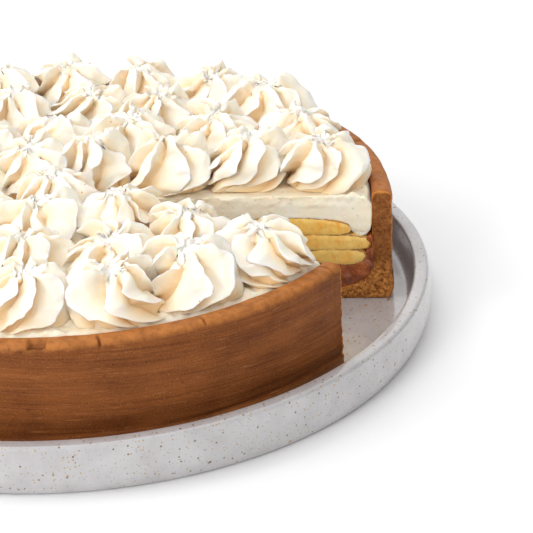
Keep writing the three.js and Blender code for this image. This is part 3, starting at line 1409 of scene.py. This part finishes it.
@dataclass
class Filling:
    """Toffee, four courses of banana and the cream above them, seen on the cut faces."""

    banana_outlines: dict[str, tuple] = field(default_factory=lambda: {
        "banana_lower": ((119.4, 15.8), (117.4, 18.6), (97.5, 18.6), (94.6, 16.2), (98.5, 13),
                         (108, 12.2), (116.4, 12.8)),
        "banana_middle": ((121.1, 21.8), (119.6, 24.6), (92, 25.2), (68, 24.4), (64, 21.6),
                          (68, 19.2), (92, 18.9), (119.4, 18.9)),
        "banana_upper": ((114, 27.8), (111, 30.8), (90, 33), (70, 31.6), (61, 27), (58, 21),
                         (60.4, 17.6), (63, 18.8), (63.4, 22), (67.7, 25.2), (92, 25.7),
                         (111.5, 25.4)),
        "banana_inner": ((50, 16.2), (47, 19.6), (32, 21.6), (17, 19.4), (13, 16), (17, 12.8),
                         (32, 12), (47, 12.8)),
    })
    toffee_top: tuple = ((121.7, 25.6), (120.4, 25.2), (119.9, 18.2), (119.8, 15.4), (116.7, 12.3),
                         (108, 11.7), (98.2, 12.5), (94.1, 16.1), (93, 18.4), (68, 18.7),
                         (60.2, 17.1), (55, 13.8), (47.5, 12.3), (32, 11.5), (16.7, 12.3),
                         (11, 16.5))
    cream_underside: tuple = ((12.2, 17), (16.6, 19.9), (32, 22.1), (47.4, 20.1), (52, 14.4),
                              (55.4, 15.4), (60, 27.4), (69.7, 32.1), (90, 33.5),
                              (111.3, 31.3), (114.7, 27.6), (113.2, 25.2), (121.4, 25))
    columns: int = 56
    cream_columns: int = 560
    lumps: Relief = field(default_factory=lambda: Relief(31))
    smears: Relief = field(default_factory=lambda: Relief(32))

    def on_base(self, points: tuple) -> list[tuple[float, float]]:
        """Heights above the case's inside base as heights above the table."""
        return [(r, z + SIZES.filling_z) for r, z in points]

    def place(self, section: np.ndarray, side: CutFace) -> np.ndarray:
        """Places on a face's section as points for noise, different on each face."""
        depth = np.full(len(section), 30.0 * side.value)
        return np.stack([section[:, 0], depth, section[:, 1]], 1)

    def toffee_relief(self, section: np.ndarray, _: np.ndarray, side: CutFace) -> np.ndarray:
        """Lumps and smears of the toffee on a cut face.

        Args:
            section: places on the section.
            _: how far they are from its edge, which the toffee doesn't heed.
            side: which face.

        Returns:
            How far they stand out, in millimetres.
        """
        place = self.place(section, side)
        lumpy = 1.1 * self.lumps.at(place, (7, 9, 4.5)) + 0.5 * self.lumps.at(place + 70, 2.8)
        drips = 0.2 * self.lumps.at(place - 40, 1.4)
        return lumpy + drips - 0.1

    def banana_relief(self, section: np.ndarray, inset: np.ndarray, side: CutFace) -> np.ndarray:
        """The rounded, fibrous face of sliced banana.

        Args:
            section: places on the section.
            inset: how far they are from its edge.
            side: which face.

        Returns:
            How far they stand out, in millimetres.
        """
        place = self.place(section, side)
        fibres = 0.18 * self.lumps.at(place, (2.2, 9, 7.0)) + 0.18 * self.lumps.at(place, 1.5)
        swell = 0.5 * smooth_step(inset, 0, 1.8)
        soft = 0.4 * self.lumps.at(place + 20, 6)
        return fibres + swell + soft

    def cream_relief(self, section: np.ndarray, inset: np.ndarray, side: CutFace) -> np.ndarray:
        """Smears, pits and the porous lower edge of the cut cream.

        Args:
            section: places on the section.
            inset: how far they are from its edge.
            side: which face.

        Returns:
            How far they stand out, in millimetres.
        """
        place = self.place(section, side)
        smear = 0.2 * self.smears.at(place, (13, 20, 2.0)) + 0.3 * self.smears.at(place, 17)
        fine = 0.07 * self.smears.at(place + 9, 1.6)
        z = section[:, 1] - SIZES.filling_z
        patchy = smooth_step(self.smears.at(place + 33, (14, 9, 6)), -0.1, 0.35)
        low = 1 - smooth_step(inset, 1.0, 6.0)
        low = low * (1 - smooth_step(z, 28, 36))
        pores = smooth_step(self.smears.at(place - 17, 2.2), 0.18, 0.5)
        rare = smooth_step(self.smears.at(place + 61, 2.0), 0.66, 0.82)
        top = smooth_step(section[:, 1], SIZES.cream_z - 7, SIZES.cream_z - 1)
        ragged = top * (0.7 * self.smears.at(place, 4.5) + 0.4 * self.smears.at(place, 2))
        return smear + fine + ragged - 1.3 * pores * low * patchy - 0.5 * rare

    def cream_top(self, r: np.ndarray, z: np.ndarray, a: np.ndarray) -> np.ndarray:
        """The roughly spread top of the cream and its uneven edge along the case.

        Args:
            r: how far each point is from the middle.
            z: its height.
            a: its azimuth.

        Returns:
            How far it stands out, in millimetres.
        """
        flat = np.stack([r * np.cos(a), r * np.sin(a), z], -1).reshape(-1, 3)

        def noise(size: float | Triple) -> np.ndarray:
            """The cream's noise, by row and column."""
            return self.smears.at(flat, size).reshape(z.shape)

        top = smooth_step(z, SIZES.cream_z - 3.5, SIZES.cream_z - 0.5)
        torn = smooth_step(r, 106, 113) * (1 - smooth_step(r, 119.5, 121.5))
        out = 0.75 * noise(6.5) + 0.4 * noise(3.2) + 0.45 * noise(14)
        out += torn * (1.9 * np.abs(noise((5.5, 5.5, 9))) + 1.0 * noise(3.4) + 0.3)
        return top * out

    def toffee_section(self) -> np.ndarray:
        """Draws the toffee's section, which runs a little under the courses above it.

        Returns:
            The points of its outline.
        """
        angles = np.radians(np.linspace(-90, 0, 9))
        floor = [(0.1, 0.0), (40, 0.0), (75, 0.0)]
        floor += [(SIZES.corner_r + SIZES.corner_width * math.cos(t),
                   SIZES.corner_height * (1 + math.sin(t))) for t in angles]
        corners = self.on_base(tuple(floor) + self.toffee_top + ((0.1, 16.8),))
        return grown(rounded_outline(corners, 1.5, 2), 0.6)

    def cream_section(self) -> np.ndarray:
        """Draws the cream's section, with close rows where its top shows.

        Returns:
            The points of its outline.
        """
        level = SIZES.cream_z
        corners = self.on_base(((0.1, 17), *self.cream_underside))
        wall = SIZES.inner - 0.2
        corners += [(wall, level - 6), (wall, level - 2.5)]
        corners += [(wall - 2.2, level), (112, level), (60, level), (0.1, level)]
        outline = rounded_outline(corners, 0.5, 2)
        coarse = (outline[:, 1] < level - 8) | (outline[:, 0] < 104)
        keep = np.arange(len(outline)) % np.where(coarse, 5, 2) == 0
        return grown(outline[keep], 0.25)

    def build(
        self,
        cream: bpy.types.Material,
        toffee: bpy.types.Material,
        banana: bpy.types.Material,
    ) -> dict[str, bpy.types.Object]:
        """Makes the layers.

        Args:
            cream: the cream's material.
            toffee: the toffee's material.
            banana: the bananas' material.

        Returns:
            The pieces by the name of the node each stands for.
        """
        rings = {"toffee": CutRing(
            "toffee_filling", self.toffee_section(), self.columns, 0.7, 41,
            face_relief=self.toffee_relief,
        )}
        for number, (name, corners) in enumerate(self.banana_outlines.items()):
            outline = grown(rounded_outline(self.on_base(corners), 0.8, 2), 0.7)
            rings[name] = CutRing(
                f"{name}_course", outline, self.columns, 0.55, 42 + number,
                face_relief=self.banana_relief,
            )
        rings["cream"] = CutRing(
            "cream_filling", self.cream_section(), self.cream_columns, 0.8, 47,
            wall_relief=self.cream_top, face_relief=self.cream_relief,
        )
        finishes = {"toffee": toffee, "cream": cream}
        return {node: ring.build(finishes.get(node, banana)) for node, ring in rings.items()}


# ---- the piped rosettes -------------------------------------------------------------------
@dataclass
class Swirl:
    """One run of the nozzle round a rosette, and the petals that it leaves.

    The rows of a petal climb from its foot to its top, and its columns run across it.
    """

    draw: np.random.Generator
    hand: float  # 1 or -1, the way round that the petals lean
    up: np.ndarray  # each row's way up the petal, 0 to 1
    crest: np.ndarray  # the crest's shares of the rosette's radius and height, by row
    valley: np.ndarray  # the same for the valley between two petals
    places: np.ndarray  # each column's place across the petal, 0 to 1
    fullness: np.ndarray  # each column's way from the valley to the crest, 0 to 1

    def __post_init__(self) -> None:
        """Draws the twist of the whole rosette, and turns the petals to its hand."""
        t = self.up
        swing = self.draw.uniform(0.1, 0.3) * np.sin(FULL_TURN * 0.7 * (1 - t))
        self.twist = self.hand * (0.5 * t + swing)
        self.lean = self.hand * (0.34 * np.sin(np.pi * np.clip(t * 1.1 + 0.1, 0, 1)) + 0.04)
        self.foot = self.hand * (1 - smooth_step(t, 0.0, 0.34))
        if self.hand < 0:
            self.places = 1 - self.places[::-1]
            self.fullness = self.fullness[::-1]

    def petal(self, start: float, width: float) -> tuple[np.ndarray, ...]:
        """Pipes one petal.

        Args:
            start: the angle where it starts.
            width: the angle that it takes up.

        Returns:
            Each point's angle, its shares of the rosette's radius and height, and how far it
            lies from the crest, which sets its painted shading, by row and column.
        """
        draw, t = self.draw, self.up
        phase, wave = draw.uniform(0, 1, 2)
        curl = draw.uniform(0.14, 0.44)
        full = 1 + draw.uniform(-0.16, 0.07)
        tall = 1 + draw.uniform(-0.28, 0.06)
        sway = curl * (1 - t) ** 0.7 * np.sin(FULL_TURN * (1.05 * t + phase))
        sway = sway + 0.05 * np.sin(FULL_TURN * (2.6 * t + wave)) * (1 - t)
        sway = sway - draw.uniform(0.1, 0.85) * self.foot
        across, spread = self.fullness[None, :], self.places[None, :]
        turn = start + width * (spread + self.lean[:, None] * across**2) + self.twist[:, None]
        angle = turn + sway[:, None] * across
        knots = np.linspace(0, 1, 24)
        nick = np.interp(t, knots, draw.uniform(-0.022, 0.022, len(knots)))
        reach = (self.crest[:, :1] + nick[:, None] * (t < 0.75)[:, None]) * full
        share = self.valley[:, :1] + across * (reach - self.valley[:, :1])
        uneven = smooth_step(t, 0.2, 0.7) * (1 - 0.85 * smooth_step(t, 0.78, 1.0))
        top = self.crest[:, 1:] * (1 + (tall - 1) * uneven[:, None])
        height = self.valley[:, 1:] + across * (top - self.valley[:, 1:])
        return angle, share, height, np.broadcast_to(1 - across, angle.shape)


@dataclass
class PipedRosettes:
    """Whipped-cream rosettes, each piped with an open star nozzle and squashed by the next."""

    columns: int = 136
    rows: int = 39
    petals: tuple[int, ...] = (8, 9, 10)
    seed: int = 700
    smallest: float = 18.0
    growth: float = 1.4
    overlap: float = 4.0
    bend_by: float = 2.3
    ripple_by: float = 0.8
    tear_by: float = 1.6
    tuft_by: float = 3.2
    crest_at: float = 0.6
    # how far up the petal, then shares of the rosette's radius and of its height
    crest: tuple = ((0, 0.9, 0.0), (0.06, 1.0, 0.03), (0.15, 1.05, 0.13), (0.26, 1.05, 0.29),
                    (0.4, 1.02, 0.52), (0.54, 0.93, 0.74), (0.67, 0.75, 0.92), (0.78, 0.52, 0.98),
                    (0.88, 0.27, 0.95), (1, 0.0, 0.89))
    valley: tuple = ((0, 0.78, 0.0), (0.06, 0.78, 0.03), (0.15, 0.7, 0.12), (0.26, 0.63, 0.25),
                     (0.4, 0.55, 0.42), (0.54, 0.44, 0.58), (0.67, 0.32, 0.74), (0.78, 0.2, 0.85),
                     (0.88, 0.1, 0.87), (1, 0.0, 0.88))
    warp: Relief = field(default_factory=lambda: Relief(61))
    tear: Relief = field(default_factory=lambda: Relief(62))

    def nodes(self) -> list[str]:
        """The names of the rosettes' nodes, in order."""
        return sorted(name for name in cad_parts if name.startswith("rosette_"))

    def spots(self) -> tuple[np.ndarray, np.ndarray, np.ndarray]:
        """Where the rosettes stand.

        Returns:
            Their middles, their radii, and their lowest and highest levels.
        """
        boxes = [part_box(node) for node in self.nodes()]
        low = np.array([box[0] for box in boxes]) / MM
        high = np.array([box[1] for box in boxes]) / MM
        radii = (high - low)[:, :2].max(1) / 2
        return (low + high)[:, :2] / 2, radii, np.stack([low[:, 2], high[:, 2]], 1)

    def reach(self, number: int, middles: np.ndarray, own: float, turn: np.ndarray) -> np.ndarray:
        """How far a rosette reaches in each direction before something squashes it.

        Args:
            number: which rosette.
            middles: the middles of all.
            own: its radius where it is free.
            turn: the directions.

        Returns:
            Distances from its middle.
        """
        here = middles[number]
        limits = [np.full_like(turn, own)]
        for other in np.delete(middles, number, axis=0):
            gap = other - here
            distance = np.hypot(*gap)
            if distance > 2.4 * own:
                continue
            facing = np.cos(turn - math.atan2(gap[1], gap[0]))
            limits.append((distance / 2 + self.overlap) / np.maximum(facing, 1e-3))
        for side in CutFace:
            angle = side.value * SIZES.half_gap
            away = np.array([math.sin(angle), -math.cos(angle)]) * side.value
            gap = -here @ away
            facing = np.cos(turn - math.atan2(away[1], away[0]))
            if 0 < gap < 1.6 * own and here[0] > 0:
                limits.append((gap + 0.3) / np.maximum(facing, 1e-3))
        along = here[0] * np.cos(turn) + here[1] * np.sin(turn)
        rim = np.sqrt(np.maximum(SIZES.rosette_reach**2 - here @ here + along**2, 0)) - along
        limits.append(rim + 1.5)
        sharpness = 7.0
        return sum(limit**-sharpness for limit in limits) ** (-1 / sharpness)

    def across(self, petals: int) -> tuple[np.ndarray, np.ndarray]:
        """Spaces the points across a petal.

        Args:
            petals: how many petals the rosette has.

        Returns:
            The points' places, 0 to 1, and their way from the valley to the crest, 0 to 1.
        """
        count = self.columns // petals
        f = (np.arange(count) + 0.5) / count
        g = f - 0.1 * np.sin(FULL_TURN * (f - self.crest_at))
        g = (g - g[0]) / (g[-1] - g[0] + (g[1] - g[0]))
        rise = np.clip(g / self.crest_at, 0, 1) ** 0.56
        fall = np.clip((1 - g) / (1 - self.crest_at), 0, 1) ** 2.0
        return g, np.where(g <= self.crest_at, rise, fall)

    def one(
        self, number: int, middles: np.ndarray, own: float, levels: np.ndarray,
    ) -> tuple[np.ndarray, np.ndarray]:
        """The points of one rosette.

        Args:
            number: which rosette.
            middles: the middles of all.
            own: its radius where it is free.
            levels: its lowest and highest level.

        Returns:
            The grid of points from its foot to its top, and each point's painted shade: deepest in
            the creases between petals and round the foot, none on the crests.
        """
        draw = np.random.default_rng(self.seed + number)
        petals = int(draw.choice(self.petals))
        widths = 1 + draw.uniform(-0.2, 0.2, petals)
        widths *= FULL_TURN / widths.sum()
        starts = draw.uniform(0, FULL_TURN) + np.r_[0, np.cumsum(widths)[:-1]]
        up = np.linspace(0, 1, self.rows) ** 0.9
        crest, valley = (curve_through(list(keys), up) for keys in (self.crest, self.valley))
        hand = draw.choice([1.0, 1.0, 1.0, -1.0])
        swirl = Swirl(draw, hand, up, crest, valley, *self.across(petals))
        parts = [swirl.petal(start, width) for start, width in zip(starts, widths)]
        angle, share, height, painted_shading = (np.hstack(part) for part in zip(*parts))
        radius = share * self.reach(number, middles, own, angle)
        base, top = levels
        grid = np.stack([
            middles[number][0] + radius * np.cos(angle),
            middles[number][1] + radius * np.sin(angle),
            base + 1.02 * (top - base) * height,
        ], -1)
        tilt = draw.uniform(-3, 3, 2)
        grid[..., :2] += tilt * (height**2)[..., None]
        # painted shade: deeper round the rosette's foot and in the creases between its petals
        low = 0.6 * (1 - smooth_step(height, 0.04, 0.42))
        deep = np.clip(painted_shading * smooth_step(share, 0.05, 0.4) + low, 0, 1)
        return self.worked(grid, height, share), deep

    def worked(self, grid: np.ndarray, height: np.ndarray, share: np.ndarray) -> np.ndarray:
        """Bends a rosette's points out of true, and tears its top.

        Args:
            grid: the points.
            height: their share of the rosette's height.
            share: their share of its radius.

        Returns:
            The new points.
        """
        flat = grid.reshape(-1, 3)
        bend, ripple, torn = (
            np.stack([noise.at(flat + shift, size) for shift in shifts], 1)
            for noise, size, shifts in (
                (self.warp, 11.0, (0, 37, 71)),
                (self.warp, 4.2, (13, 53, 97)),
                (self.tear, 2.3, (0, 29, 61)),
            )
        )
        top = (1 - smooth_step(share, 0.2, 0.6)) * smooth_step(share, -0.06, 0.14)
        top = top.reshape(-1, 1)
        free = smooth_step(height, 0.0, 0.2).reshape(-1, 1)
        moved = flat + free * (self.bend_by * bend + self.ripple_by * ripple)
        moved = moved + top * free * self.tear_by * torn
        tuft = np.maximum(self.tear.at(flat - 83, (3.0, 3.0, 9.0)), 0)[:, None]
        moved[:, 2:] += top * free * (self.tuft_by * tuft - 0.5)
        return moved.reshape(grid.shape)

    def build(self, cream: bpy.types.Material) -> dict[str, bpy.types.Object]:
        """Makes every rosette.

        Args:
            cream: their material.

        Returns:
            The pieces by the name of the node each stands for.
        """
        middles, radii, levels = self.spots()
        pieces = {}
        for number, node in enumerate(self.nodes()):
            own = max(radii[number], self.smallest) + self.growth
            grid, painted_shading = self.one(number, middles, own, levels[number])
            rows, columns = grid.shape[:2]
            ring = grid[:-1].reshape(-1, 3)
            foot = grid[0].mean(0)
            top = grid[-1].mean(0)
            points = np.vstack([ring, foot, top])
            quads = grid_quads(rows - 1, columns, wrap=True)
            around = np.arange(columns)
            following = (around + 1) % columns
            floor = np.stack([following, around, np.full(columns, len(ring))], 1)
            last = (rows - 2) * columns
            crown = np.stack([last + around, last + following, np.full(columns, len(ring) + 1)], 1)
            # painted shading for the cream: shade in the creases and round the foot, highlight on
            # the crests
            marks = {"painted_shading": np.r_[painted_shading[:-1].ravel(), 1.0, 0.5]}
            name = f"piped_rosette_{number + 1:02d}"
            pieces[node] = make_piece(name, points, [quads, floor, crown], cream, marks)
        return pieces


# ---- the studio ---------------------------------------------------------------------------
@dataclass(frozen=True)
class SoftLight:
    """A square soft light. Its place, its aim and its side are in metres, its power in watts."""

    name: str
    place: Triple
    side: float
    power: float
    aim: Triple = (0.0, 0.0, 0.0)

    def hang(self) -> None:
        """Adds the light to the scene."""
        lamp = bpy.data.lights.new(self.name, "AREA")
        lamp.shape = "SQUARE"
        lamp.size = self.side
        lamp.energy = self.power
        piece = place_object(self.name, lamp)
        piece.location = self.place
        facing = Vector(self.aim) - Vector(self.place)
        piece.rotation_euler = facing.to_track_quat("-Z", "Y").to_euler()


@dataclass(frozen=True)
class Studio:
    """A pale floor, soft light from above and the photograph's viewpoint.

    Lengths are in metres, angles in radians, and the lens in millimetres.
    """

    turn: float = math.radians(25)
    distance: float = 0.86645
    height: float = 0.4337
    yaw: float = 0.0912
    pitch: float = 0.4491
    roll: float = -0.0401
    lens: float = 159.07
    floor: float = 4.0
    lights: tuple[SoftLight, ...] = (
        SoftLight("overhead_softbox", (-0.2, 0.3, 1.6), 1.1, 3.4),
        SoftLight("key_softbox", (-1.1, -0.6, 1.15), 0.6, 4.4),
        SoftLight("front_softbox", (-0.3, -1.5, 0.8), 0.4, 5.0, (0.0, 0.0, 0.03)),
    )
    air_light: float = 1.12
    air_shade: float = 0.2
    # the surroundings darken between these cosines of the angle from the viewer's right
    air_fade: tuple[float, float] = (0.15, 0.9)

    def lay_floor(self) -> None:
        """Lays a plain pale floor."""
        half = self.floor / 2
        mesh = bpy.data.meshes.new("studio_floor")
        corners = [(-half, -half, 0), (half, -half, 0), (half, half, 0), (-half, half, 0)]
        mesh.from_pydata(corners, [], [(0, 1, 2, 3)])
        b = Bench("studio_paper")
        shade = b.mix(b.noise(300, 2), paint(250, 250, 250), paint(248, 248, 249))
        mesh.materials.append(b.finish(Base_Color=shade, Roughness=0.7, Specular_IOR_Level=0.2))
        place_object("studio_floor", mesh)

    def light(self) -> None:
        """Hangs the lights, and makes the pale surroundings, darker on the right."""
        world = bpy.data.worlds.new("studio_air")
        world.use_nodes = True
        nodes, links = world.node_tree.nodes, world.node_tree.links
        air = nodes["Background"]
        air.inputs["Color"].default_value = (1.0, 1.0, 1.0, 1.0)
        way = nodes.new("ShaderNodeVectorMath")
        way.operation = "DOT_PRODUCT"
        way.inputs[1].default_value = (math.cos(self.turn), math.sin(self.turn), 0.0)
        links.new(nodes.new("ShaderNodeTexCoord").outputs["Generated"], way.inputs[0])
        fade = nodes.new("ShaderNodeMapRange")
        limits = (*self.air_fade, self.air_light, self.air_shade)
        for name, value in zip(("From Min", "From Max", "To Min", "To Max"), limits):
            fade.inputs[name].default_value = value
        links.new(way.outputs["Value"], fade.inputs["Value"])
        links.new(fade.outputs["Result"], air.inputs["Strength"])
        bpy.context.scene.world = world
        for soft_light in self.lights:
            soft_light.hang()
        bpy.context.scene.view_settings.view_transform = "Standard"

    def place_camera(self) -> None:
        """Puts the camera where the photograph was taken from."""
        camera = bpy.data.cameras.new("viewpoint")
        camera.lens = self.lens
        camera.sensor_width = 36
        camera.clip_start = 0.05
        camera.clip_end = 20
        flat = math.cos(self.pitch)
        forward = Vector((math.sin(self.yaw) * flat, math.cos(self.yaw) * flat,
                          -math.sin(self.pitch)))
        level = forward.cross(Vector((0, 0, 1))).normalized()
        upright = level.cross(forward)
        right = math.cos(self.roll) * level + math.sin(self.roll) * upright
        up = -math.sin(self.roll) * level + math.cos(self.roll) * upright
        turn = Matrix.Rotation(self.turn, 3, "Z")
        axes = turn @ Matrix((right, up, -forward)).transposed()
        place = turn @ Vector((0, -self.distance, self.height))
        piece = place_object("viewpoint", camera)
        piece.matrix_world = Matrix.Translation(place) @ axes.to_4x4()
        bpy.context.scene.camera = piece


def settle_in(piece: bpy.types.Object, node: str, slot: str) -> None:
    """Lets a piece stand for a node and ride on the body.

    Args:
        piece: the piece.
        node: the node that it stands for.
        slot: not used.
    """
    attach(piece, BODY)
    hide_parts(node)
    log.info("%s: %d faces for %s", piece.name, len(piece.data.polygons), node)


def main() -> None:
    """Builds the pie, its dish and the studio in order."""
    logging.basicConfig(level=logging.INFO, format="%(message)s")
    studio = Studio()
    studio.place_camera()
    studio.lay_floor()
    studio.light()
    settle_in(Dish().build(SpeckledStoneware().make()), "dish", "stoneware")
    settle_in(PastryCase().build(BakedPastry().make()), "crust", "crust")
    # painted warm shade: the cut faces' cream is a warmer copy of the piped cream, to warm the
    # shade that the cut faces lie in
    cut_cream = WhippedCream(
        "cut_cream", light=paint(255, 246, 228), warm=paint(255, 239, 213), sliced=True,
    ).make()
    layers = Filling().build(cut_cream, SoftToffee().make(), RipeBanana().make())
    for node, piece in layers.items():
        settle_in(piece, node, "banana" if node.startswith("banana") else node)
    for node, piece in PipedRosettes().build(WhippedCream("piped_cream").make()).items():
        settle_in(piece, node, "rosettes")


if __name__ == "__main__":
    main()
